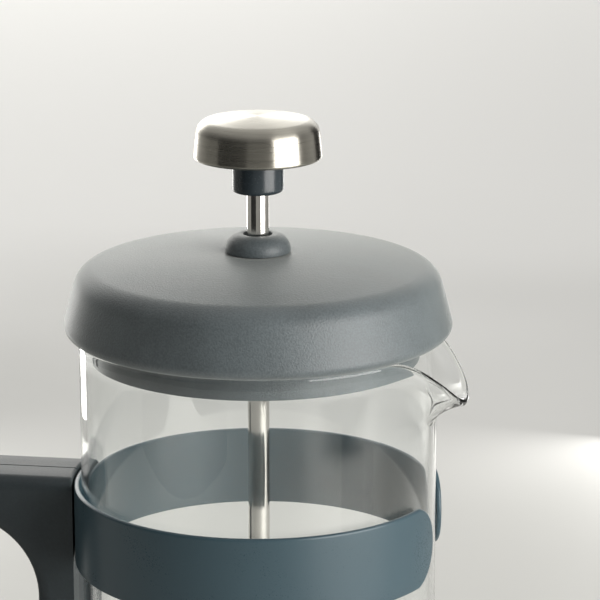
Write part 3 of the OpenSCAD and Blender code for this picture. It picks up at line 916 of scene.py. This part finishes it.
@dataclass
class CarryFrame(SubAssembly):
    """The painted band and cup that hold the beaker, and the cup's pad and foot."""

    inner: float = 49.6 * MM
    outer: float = 51.1 * MM
    band_low: float = 112.4 * MM
    band_high: float = 134.9 * MM
    tip_half: float = 11 * MM
    end_radius: float = 11.8 * MM
    edge: float = 0.6 * MM
    margin: float = 0.3 * MM
    cup_low: float = 1.6 * MM
    cup_high: float = 25.8 * MM
    cup_corner: float = 6 * MM
    pad_low: float = 3.1 * MM
    pad_high: float = 4.8 * MM
    pad_radius: float = 38 * MM
    pad_edge: float = 0.4 * MM
    foot_radius: float = 44.1 * MM
    foot_edge: float = 0.5 * MM

    def band(self) -> Skin:
        """A long plate with rounded ends, rolled round the axis.

        Its outline is taken round once. Each ring of the edge is that outline drawn in by e (1 - cos a) and
        moved through the plate's thickness by e sin a. The flat faces join the outline's upper and lower
        halves, inside a narrow margin that keeps them flat in the light.
        """
        middle, half = (self.band_low + self.band_high) / 2, (self.band_high - self.band_low) / 2
        radius, half_t = (self.inner + self.outer) / 2, (self.outer - self.inner) / 2
        reach = math.degrees(math.asin(half / self.end_radius))
        end = np.radians(np.linspace(0.0, reach, 26))
        side = self.tip_half + self.end_radius * (1 - np.cos(end))
        height, slope = self.end_radius * np.sin(end), end
        bearing = np.arcsin(side / radius)
        long = np.linspace(bearing[-1], 2 * math.pi - bearing[-1], 200)[1:-1]
        turn = np.concatenate([bearing, long, 2 * math.pi - bearing[::-1]])
        tall = np.concatenate([height, np.full(len(long), half), height[::-1]])
        lean = np.concatenate([math.pi / 2 - slope, np.zeros(len(long)), slope[::-1] - math.pi / 2])
        turn = np.concatenate([turn, turn[-2:0:-1]])
        tall = np.concatenate([tall, -tall[-2:0:-1]])
        inward = np.concatenate([lean, -lean[-2:0:-1]])
        sign = np.where(np.arange(len(turn)) < len(lean), -1.0, 1.0)
        shift_s = np.sin(np.abs(inward)) * np.where(turn < math.pi, 1.0, -1.0)
        shift_z = np.cos(inward) * sign
        angle = np.radians(np.linspace(90, -90, 11))
        draw = self.edge * (1 - np.cos(angle))
        layer = (half_t - self.edge) * np.sign(np.round(np.sin(angle), 6)) + self.edge * np.sin(angle)
        draw, layer = np.pad(draw, 1, mode="edge"), np.pad(layer, 1, mode="edge")
        draw[[0, -1]] += self.margin
        across = turn[None] + draw[:, None] * shift_s[None] / radius
        up = middle + tall[None] + draw[:, None] * shift_z[None]
        far = radius + layer[:, None]
        grid = np.stack([far * np.cos(across), far * np.sin(across), up], -1)
        rows, columns = grid.shape[:2]
        top = np.arange(len(lean))
        low = (columns - top) % columns
        inner = np.stack([low[:-1], low[1:], top[1:], top[:-1]], -1)
        faces = np.concatenate([inner, inner[:, ::-1] + (rows - 1) * columns])
        return self.closed(Skin.from_grid(grid), faces)

    @staticmethod
    def closed(rim: Skin, faces: Array) -> Skin:
        """Joins a plate's rim and its two flat faces.

        Args:
            rim: The rim.
            faces: The flat faces' corners. Two of them fall together at each end, which makes a triangle.

        Returns:
            The skin.
        """
        twin = (faces[:, 0] == faces[:, 3]) | (faces[:, 1] == faces[:, 2])
        whole, ends = faces[~twin], faces[twin]
        first = ends[:, 0] == ends[:, 3]
        triangles = np.where(first[:, None], ends[:, [0, 1, 2]], ends[:, [0, 1, 3]])
        return Skin(rim.vertices, np.concatenate([rim.quads, whole]), triangles).tidied()

    def cup(self) -> Array:
        """Profile of the pressed cup, from its lower pole to its upper one."""
        wall = self.outer - self.inner
        inner = self.cup_corner - wall
        return path(
            [0, self.cup_low],
            arc(self.outer - self.cup_corner, self.cup_low + self.cup_corner, self.cup_corner, -90, 0, 14),
            arc(self.outer - self.edge, self.cup_high - self.edge, self.edge, 0, 90, 6),
            arc(self.inner + self.edge, self.cup_high - self.edge, self.edge, 90, 180, 6),
            arc(self.inner - inner, self.pad_low + inner, inner, 0, -90, 12),
            [0, self.pad_low], spacing=6 * MM,
        )

    def build(self, nodes: dict[str, bpy.types.Object]) -> None:
        """Adds the band, cup, pad and foot, and dresses the spine."""
        self.add("carry_band", self.band(), Slot.PAINT, "upper_band")
        self.add("carry_cup", Skin.lathe(self.cup(), 240), Slot.PAINT, "base_cup")
        pad = Skin.lathe(disc(self.pad_radius, self.pad_low, self.pad_high, self.pad_edge))
        self.add("glass_pad", pad, Slot.SILICONE, "base_pad")
        foot = Skin.lathe(disc(self.foot_radius, 0, self.cup_low, self.foot_edge))
        self.add("cup_foot", foot, Slot.SILICONE, "base_foot")
        self.dress(nodes, "frame_spine", slot=Slot.PAINT)


@dataclass
class Handle(SubAssembly):
    """The looped handle: two moulded shells that meet on a fine joint line."""

    inner_x: float = -51.5 * MM
    column_x: float = -61.2 * MM
    grip_x: float = -96.5 * MM
    outer_x: float = -108.9 * MM
    top: float = 135.9 * MM
    bottom: float = 14.6 * MM
    open_top: float = 123.5 * MM
    open_bottom: float = 27 * MM
    back_radius: float = 24.4 * MM
    arch_radius: float = 22.5 * MM
    grip_corner: float = 12 * MM
    half_width: float = 11.5 * MM
    edge: float = 3.5 * MM
    seam: float = 0.3 * MM
    beaker_edge: float = 0.2 * MM
    beaker_corner: float = 0.7 * MM
    fade: float = 1 * MM
    screws: tuple[tuple[float, float], ...] = (
        (-55 * MM, 124.65 * MM), (-55 * MM, 22.6 * MM), (-102.7 * MM, 75.25 * MM))
    recess: float = 2.85 * MM
    recess_floor: float = 8.25 * MM
    beyond: float = 2 * MM

    def outline(self, inset: float, corner: int = 22, side: int = 12) -> Array:
        """The loop's outside from the beaker's upper corner round the back, drawn in by an inset."""
        x_in = self.inner_x - inset * self.beaker_edge / self.edge
        small = self.beaker_corner
        high, low = self.top - inset, self.bottom + inset
        back_x, r = self.outer_x + self.back_radius, self.back_radius - inset
        return self.evened([
            arc(x_in - small, high - small, small, 0, 90, corner),
            arc(back_x, self.top - self.back_radius, r, 90, 180, corner),
            arc(back_x, self.bottom + self.back_radius, r, 180, 270, corner),
            arc(x_in - small, low + small, small, 270, 360, corner),
        ], side)

    def opening(self, grow: float, corner: int = 22, side: int = 12) -> Array:
        """The finger opening's outline, let out by an amount, in step with the outside."""
        a, c = self.arch_radius, self.grip_corner
        return self.evened([
            arc(self.column_x - a, self.open_top - a, a + grow, 0, 90, corner),
            arc(self.grip_x + c, self.open_top - c, c + grow, 90, 180, corner),
            arc(self.grip_x + c, self.open_bottom + c, c + grow, 180, 270, corner),
            arc(self.column_x - a, self.open_bottom + a, a + grow, 270, 360, corner),
        ], side)

    @staticmethod
    def evened(corners: list[Array], side: int) -> Array:
        """Puts evenly spaced points between corners, so that two outlines keep step."""
        runs: list[Array] = []
        share = np.linspace(0, 1, side + 1)[1:-1, None]
        for here, there in zip(corners, corners[1:] + corners[:1]):
            runs += [here, here[-1] * (1 - share) + there[0] * share]
        return np.concatenate(runs)

    def shell(self, side: int) -> Skin:
        """One shell. Rows run up the outside, over the rounded edge, across the face and into the opening.

        The edge is drawn in by e (1 - cos a) as it rises by e sin a. Near the beaker the shell is moved in X
        so that it follows the beaker's curve: by R - sqrt(R^2 - y^2), fading out with distance.

        Args:
            side: -1 for the front shell, 1 for the rear one.

        Returns:
            The skin.
        """
        flat = self.half_width - self.edge
        steps = [(self.seam, 0.0), (0.0, self.seam), (0.0, flat * 0.5), (0.0, flat)]
        angle = np.radians(np.linspace(0, 90, 11))[1:]
        steps += list(zip(self.edge * (1 - np.cos(angle)), flat + self.edge * np.sin(angle)))
        outer = [np.insert(self.outline(inset), 1, y, axis=1) for inset, y in steps]
        inner = [np.insert(self.opening(inset), 1, y, axis=1) for inset, y in steps[::-1]]
        share = np.linspace(0, 1, 9)[1:-1, None, None]
        face = outer[-1][None] * (1 - share) + inner[0][None] * share
        grid = np.concatenate([np.stack(outer), face, np.stack(inner)])
        reach = abs(self.inner_x)
        hollow = reach - np.sqrt(reach ** 2 - grid[..., 1] ** 2)
        near = np.clip((grid[..., 0] - self.column_x + self.fade) / (self.inner_x - self.column_x), 0, 1)
        grid[..., 0] += hollow * near * near * (3 - 2 * near)
        grid[..., 1] *= side
        return Skin.from_grid(grid, loop=True)

    def build(self, nodes: dict[str, bpy.types.Object]) -> None:
        """Adds the shells, drills the rear one for its screws, and dresses the screws and inserts."""
        self.add("handle_shell_front", self.shell(-1), Slot.HANDLE, "handle_front")
        rear = self.add("handle_shell_rear", self.shell(1), Slot.HANDLE, "handle_rear")
        outside = self.half_width + self.beyond
        drill(rear, [peg(x, z, self.recess, self.recess_floor, outside) for x, z in self.screws])
        self.dress(nodes, "handle_screws", slot=Slot.BRIGHT)
        self.dress(nodes, "handle_inserts", slot=Slot.BRASS)


@dataclass
class Lid(SubAssembly):
    """The domed cover and the slotted skirt under it."""

    rim: float = 178 * MM
    radius: float = 53 * MM
    height: float = 22.1 * MM
    taper: float = 15.0
    shoulder: float = 7 * MM
    edge: float = 2.5 * MM
    crown: float = 266 * MM
    wall: float = 2.6 * MM
    spot_radius: float = 9.5 * MM
    spot_depth: float = 0.25 * MM
    hub_radius: float = 10.5 * MM
    hub: float = 196.5 * MM
    bore: float = 5.55 * MM
    flange_radius: float = 49.8 * MM
    flange_low: float = 178.05 * MM
    flange_high: float = 179.45 * MM
    ledge_radius: float = 46.2 * MM
    ledge: float = 1.6 * MM
    skirt_outer: float = 44.2 * MM
    skirt_inner: float = 42.7 * MM
    skirt_low: float = 170.8 * MM
    slots: int = 9
    slot_width: float = 2.2 * MM
    slot_height: float = 4.4 * MM
    slot_sill: float = 1.6 * MM
    slot_pitch: float = 6.5
    soft: float = 0.35 * MM
    rounding: float = 0.3 * MM
    play: float = 0.2 * MM
    beyond: float = 2 * MM

    def cover(self) -> Array:
        """Profile of the cover: spot face, crown, shoulder, side, foot, ledge, and the same again inside."""
        spot = self.rim + self.height - self.spot_depth
        sizes = (self.radius, self.height, self.edge, self.taper, self.shoulder, self.crown)
        top, low = dome(*sizes, 0, self.spot_radius + self.rounding, self.rim)
        inside, _ = dome(*sizes, self.wall, self.hub_radius, self.rim)
        lean = math.radians(self.taper)
        rise = self.flange_high + self.ledge
        inner = self.radius - self.wall / math.cos(lean) - (rise - self.rim - self.edge) * math.tan(lean)
        seat = self.flange_radius + self.play
        return path(
            [self.bore, spot], [self.spot_radius, spot], top, low, [seat, self.rim],
            [seat, self.flange_high], [self.ledge_radius, self.flange_high],
            [self.ledge_radius, rise], [inner, rise], inside[::-1],
            [self.hub_radius, self.hub], [self.bore, self.hub], spacing=3 * MM,
        )

    def skirt(self) -> Skin:
        """The skirt and its flange as one ring with softened edges."""
        soft = self.soft
        return Skin.lathe(path(
            arc(self.skirt_outer - soft, self.skirt_low + soft, soft, -90, 0, 4),
            arc(self.skirt_outer + soft, self.flange_low - soft, soft, 180, 90, 4),
            arc(self.flange_radius - soft, self.flange_low + soft, soft, -90, 0, 4),
            arc(self.flange_radius - soft, self.flange_high - soft, soft, 0, 90, 4),
            [self.skirt_inner, self.flange_high],
            arc(self.skirt_inner + soft, self.skirt_low + soft, soft, 180, 270, 4),
            spacing=2.5 * MM), 256)

    def build(self) -> None:
        """Adds the cover and the skirt, and cuts the skirt's strainer slots."""
        self.add("lid_dome", Skin.lathe(self.cover(), 256), Slot.LID, "lid_cover")
        skirt = self.add("lid_strainer", self.skirt(), Slot.LID, "lid_skirt")
        sill = self.skirt_low + self.slot_sill
        low = (self.skirt_inner - self.beyond, -self.slot_width / 2, sill)
        high = (self.skirt_outer + self.beyond, self.slot_width / 2, sill + self.slot_height)
        first = 180 - (self.slots - 1) / 2 * self.slot_pitch
        drill(skirt, [block(low, high, first + k * self.slot_pitch) for k in range(self.slots)])


@dataclass
class Guide(SubAssembly):
    """The bush that the rod runs through, and its nut inside the lid."""

    stem: float = 5.5 * MM
    radius: float = 8.9 * MM
    base: float = 199.95 * MM
    top: float = 204.95 * MM
    foot: float = 192.4 * MM
    bore: float = 3.05 * MM
    bead: float = 4.248 * MM
    mouth: float = 3.9 * MM
    mouth_depth: float = 1.8 * MM
    mouth_taper: float = 0.3 * MM
    soft: float = 0.35 * MM

    def bush(self) -> Array:
        """Profile of the bush: stem, underside, rounded dome, and a dished mouth round the rod."""
        soft, dish = self.soft, self.top - self.mouth_depth
        return path(
            [self.bore, self.foot], [self.stem, self.foot], [self.stem, self.base],
            arc(self.radius - 2 * soft, self.base + soft, soft, -90, -20, 4),
            arc(self.radius - self.bead, self.top - self.bead, self.bead, -8, 92, 26),
            arc(self.mouth + soft, self.top - soft, soft, 90, 180, 5),
            [self.mouth - self.mouth_taper, dish], [self.bore, dish], spacing=1.2 * MM,
        )

    def build(self, nodes: dict[str, bpy.types.Object]) -> None:
        """Adds the bush and dresses its nut."""
        self.add("rod_bush", Skin.lathe(self.bush(), 128), Slot.LID, "lid_bush")
        self.dress(nodes, "bush_nut", slot=Slot.LID)


@dataclass
class Plunger(SubAssembly):
    """Knob, rod and filter stack."""

    knob_low: float = 225.85 * MM
    knob_radius: float = 17.5 * MM
    knob_height: float = 11.5 * MM
    knob_foot: float = 0.9 * MM
    knob_taper: float = 6.0
    knob_edge: float = 4 * MM
    knob_crown: float = 97 * MM
    knob_wall: float = 0.8 * MM
    collar_radius: float = 7.05 * MM
    collar_low: float = 216.55 * MM
    collar_edge: float = 1.2 * MM
    collar_flare: float = 0.4 * MM
    collar_plug: float = 2 * MM
    rod: float = 3 * MM
    rod_low: float = 8.6 * MM
    rod_high: float = 227.85 * MM
    rod_chamfer: float = 0.3 * MM
    insert: float = 4.3 * MM
    coil_ring: float = 44.5 * MM
    coil_height: float = 14.1 * MM
    coil: float = 1.3 * MM
    wire: float = 0.32 * MM
    coil_turns: int = 150
    turn_steps: int = 12
    screen_low: float = 12.4 * MM
    screen_high: float = 16.2 * MM
    screen_radius: float = 46.4 * MM
    screen_wall: float = 0.4 * MM
    screen_corner: float = 0.9 * MM

    def knob(self, inset: float) -> Array:
        """Outline of the knob from its axis to its lower edge, drawn in by an inset."""
        top, low = dome(self.knob_radius, self.knob_height, self.knob_foot, self.knob_taper, self.knob_edge,
                        self.knob_crown, inset, 0, self.knob_low)
        return path(top, low, spacing=1.5 * MM)

    def cap(self) -> Array:
        """Profile of the steel cap: the knob's outside, its rolled lower edge, and its inside."""
        return path(self.knob(0), self.knob(self.knob_wall)[::-1])

    def core(self) -> Array:
        """Profile of the plastic core and its collar, from the axis over the top and down to the collar."""
        soft, flare = self.collar_edge, self.collar_flare
        under, plug = self.knob_low + self.knob_wall, self.collar_low + self.collar_plug
        return path(
            self.knob(self.knob_wall), [self.collar_radius + flare, under],
            [self.collar_radius, under - flare],
            arc(self.collar_radius - soft, self.collar_low + soft, soft, 0, -90, 8),
            [self.rod, self.collar_low], [self.rod, plug], [self.insert, plug],
            [self.insert, self.rod_high], [0, self.rod_high], spacing=1.5 * MM,
        )

    def rod_profile(self) -> Array:
        """Profile of the rod, with a small chamfer at each end."""
        small = self.rod_chamfer
        return path(
            [0, self.rod_low], [self.rod - small, self.rod_low], [self.rod, self.rod_low + small],
            [self.rod, self.rod_high - small], [self.rod - small, self.rod_high], [0, self.rod_high],
            spacing=9 * MM,
        )

    def sealing_coil(self) -> Skin:
        """A wound spring bent into a ring: a circle round the axis, a fast helix round that, and the wire."""
        steps = self.coil_turns * self.turn_steps
        t = np.linspace(0, 2 * math.pi, steps, endpoint=False)
        wind = self.coil_turns * t
        inner = self.coil - self.wire
        radius = self.coil_ring + inner * np.cos(wind)
        height = self.coil_height + inner * np.sin(wind)
        centre = np.stack([radius * np.cos(t), radius * np.sin(t), height], -1)
        ahead = np.roll(centre, -1, 0) - np.roll(centre, 1, 0)
        ahead /= np.linalg.norm(ahead, axis=1, keepdims=True)
        level = np.full(steps, self.coil_height)
        ring = np.stack([self.coil_ring * np.cos(t), self.coil_ring * np.sin(t), level], -1)
        out = (centre - ring) / inner
        out -= (out * ahead).sum(1, keepdims=True) * ahead
        out /= np.linalg.norm(out, axis=1, keepdims=True)
        side = np.cross(ahead, out)
        a = np.linspace(0, 2 * math.pi, 6, endpoint=False)[:, None, None]
        grid = centre[None] + self.wire * (np.cos(a) * out[None] + np.sin(a) * side[None])
        return Skin.from_grid(grid, loop=True)

    def screen(self) -> Array:
        """Profile of the gauze tray: a flat floor with a bore, and an upturned side with a rounded corner."""
        r, w, soft = self.screen_radius, self.screen_wall, self.screen_corner
        return path(
            [self.rod, self.screen_low], arc(r - soft, self.screen_low + soft, soft, -90, 0, 6),
            arc(r - w / 2, self.screen_high - w / 2, w / 2, 0, 180, 4),
            arc(r - soft, self.screen_low + soft, soft - w, 0, -90, 6), [self.rod, self.screen_low + w],
            spacing=3 * MM,
        )

    def build(self, nodes: dict[str, bpy.types.Object]) -> None:
        """Adds the knob, rod, coil and screen, and dresses the plates, nuts and insert."""
        self.add("knob_steel_cap", Skin.lathe(self.cap(), 192), Slot.BRUSHED, "knob_cap")
        self.add("knob_plastic_core", Skin.lathe(self.core(), 128), Slot.COLLAR, "knob_core")
        self.add("rod_steel", Skin.lathe(self.rod_profile(), 64), Slot.BRIGHT, "plunger_rod")
        self.add("spring_coil", self.sealing_coil(), Slot.BRIGHT, "sealing_coil")
        self.add("gauze_screen", Skin.lathe(self.screen(), 192), Slot.GAUZE, "mesh_screen")
        self.dress(nodes, "rod_collar", "spring_plate", "cross_plate", "filter_nut", slot=Slot.BRIGHT)
        self.dress(nodes, "knob_insert", slot=Slot.BRASS)


# ---- Studio ----


def bearing_vector(azimuth: float, elevation: float) -> Vector:
    """A unit vector: azimuth in degrees from -Y towards +X, elevation above the floor."""
    a, e = math.radians(azimuth), math.radians(elevation)
    return Vector((math.sin(a) * math.cos(e), -math.cos(a) * math.cos(e), math.sin(e)))


def staged(name: str, points: Array, finish: Finish) -> bpy.types.Object:
    """Adds a sheet of the stage from a grid of points.

    Args:
        name: The sheet's name.
        points: Points, as (rows, columns, 3).
        finish: Its finish.

    Returns:
        The sheet.
    """
    rows, columns = points.shape[:2]
    index = np.arange(rows * columns).reshape(rows, columns)
    quads = np.stack([index[:-1, :-1], index[:-1, 1:], index[1:, 1:], index[1:, :-1]], -1)
    sheet = bpy.data.objects.new(name, Skin(points.reshape(-1, 3), quads.reshape(-1, 4)).mesh(name))
    sheet.data.materials.append(finish.material())
    bpy.context.scene.collection.objects.link(sheet)
    sheet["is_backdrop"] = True
    return sheet


@dataclass(frozen=True)
class Softbox:
    """A rectangular lamp that looks at a point on the press's axis. It can't be seen through the glass."""

    name: str
    azimuth: float
    elevation: float
    distance: float
    width: float
    height: float
    power: float
    colour: Colour = (1.0, 0.985, 0.96)
    aim: float = 0.2

    def place(self) -> None:
        """Adds the lamp."""
        lamp = bpy.data.lights.new(self.name, "AREA")
        lamp.shape, lamp.size, lamp.size_y = "RECTANGLE", self.width, self.height
        lamp.energy, lamp.color = self.power, self.colour
        holder = bpy.data.objects.new(self.name, lamp)
        back = bearing_vector(self.azimuth, self.elevation)
        holder.location = Vector((0, 0, self.aim)) + back * self.distance
        holder.rotation_euler = back.to_track_quat("Z", "Y").to_euler()
        holder.visible_transmission = False
        bpy.context.scene.collection.objects.link(holder)


@dataclass(frozen=True)
class Flag:
    """A dark upright card that only reflections see."""

    name: str
    azimuth: float
    distance: float
    width: float
    height: float
    low: float = 0.02

    def place(self) -> None:
        """Adds the card: a grid of points across its width and up its height."""
        back = bearing_vector(self.azimuth, 0)
        side = Vector((0, 0, 1)).cross(back) * (self.width / 2)
        across, up = np.meshgrid(np.linspace(-1, 1, 5), np.linspace(self.low, self.height, 5))
        middle = np.array(back * self.distance)
        points = middle + across[..., None] * np.array(side) + up[..., None] * np.array((0, 0, 1))
        cloth = MouldedPlastic("flag_cloth", colour=(0.01, 0.01, 0.01), roughness=0.9)
        card = staged(self.name, points, cloth)
        card.visible_camera = card.visible_shadow = False
        card.visible_diffuse = card.visible_transmission = False


@dataclass
class Studio:
    """Floor, sky, lamps, dark flags and camera.

    The sky's light is dim all round, with a share from behind the press, a share from above and a window.
    """

    azimuth: float = 8.4
    elevation: float = 14.5
    distance: float = 0.818
    focal: float = 180.0
    sensor: float = 36.0
    sight: tuple[float, float] = (0.05, 50.0)
    look_height: float = 0.18625
    look_right: float = 0.0114
    floor_x: tuple[float, float] = (-6.0, 6.0)
    floor_y: tuple[float, float] = (-3.0, 9.0)
    sky_colour: Colour = (1.0, 0.99, 0.965)
    dim: float = 0.07
    behind: float = 0.4
    above: float = 0.46
    window: float = 0.8
    lamps: tuple[Softbox, ...] = (
        Softbox("key_right", 63, 6, 0.52, 0.46, 0.46, 4.2),
        Softbox("strip_left", 222, 0, 0.5, 0.12, 0.18, 0.42, aim=0.1),
        Softbox("strip_back", 168, 0, 0.5, 0.06, 0.16, 0.14, aim=0.09),
        Softbox("back_left", 207, 13, 3.0, 2.3, 1.4, 22.0, (1.0, 0.99, 0.945)),
    )
    flags: tuple[Flag, ...] = (Flag("flag_0", -38, 0.42, 0.45, 0.5), Flag("flag_1", 146, 0.6, 0.26, 0.5))

    def floor(self) -> None:
        """A broad floor: a grid of points at the height that the press stands on."""
        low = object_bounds()[0][2]
        across, along = np.meshgrid(np.linspace(*self.floor_x, 13), np.linspace(*self.floor_y, 13))
        points = np.stack([across, along, np.full(across.shape, low)], -1)
        staged("floor", points, StudioFloor("floor_with_painted_shade"))

    def sky(self) -> None:
        """Light from all round: brighter behind and above, with a soft window low behind the press."""
        world = bpy.data.worlds.new("studio_sky")
        bpy.context.scene.world = world
        graph = Graph(world)
        ray = graph.node("ShaderNodeTexCoord").outputs["Generated"]
        parts = graph.node("ShaderNodeSeparateXYZ", None, {0: ray})
        x, y, z = (Value(graph, socket) for socket in parts.outputs)
        window = (y * 0.97 - x * 0.24).between(0.65, 0.95) * z.between(0.0, 0.12) * (1 - z.between(0.4, 0.6))
        glow = y.between(-0.1, 0.8) * self.behind + z.between(0.2, 1.0) * self.above
        glow = glow + window * self.window + self.dim
        light = graph.node("ShaderNodeBackground", None, {"Color": self.sky_colour, "Strength": glow})
        graph.node("ShaderNodeOutputWorld", None, {0: light.outputs[0]})

    def camera(self) -> None:
        """The camera: a long lens from the front, a little towards the lip and above."""
        lens = bpy.data.cameras.new("camera")
        lens.lens, lens.sensor_width = self.focal, self.sensor
        lens.clip_start, lens.clip_end = self.sight
        holder = bpy.data.objects.new("camera", lens)
        a = math.radians(self.azimuth)
        right = Vector((math.cos(a), math.sin(a), 0)) * self.look_right
        target = right + Vector((0, 0, self.look_height))
        back = bearing_vector(self.azimuth, self.elevation)
        holder.location = target + back * self.distance
        holder.rotation_euler = back.to_track_quat("Z", "Y").to_euler()
        bpy.context.scene.collection.objects.link(holder)
        bpy.context.scene.camera = holder

    def build(self) -> None:
        """Sets the stage."""
        bpy.context.scene.view_settings.view_transform = "Standard"
        self.camera()
        self.floor()
        self.sky()
        for item in self.flags + self.lamps:
            item.place()


def main() -> None:
    """Loads the frame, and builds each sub-assembly in order."""
    logging.basicConfig(level=logging.INFO, format="%(name)s %(message)s")
    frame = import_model()
    for thing in [item for item in bpy.data.objects if item.name in ("Cube", "Light", "Camera")]:
        bpy.data.objects.remove(thing)
    nodes = frame["nodes"]
    Studio().build()
    Beaker("beaker").build()
    CarryFrame("frame").build(nodes)
    Handle("frame").build(nodes)
    Lid("lid").build()
    Guide("guide").build(nodes)
    Plunger("plunger").build(nodes)


if __name__ == "__main__":
    main()
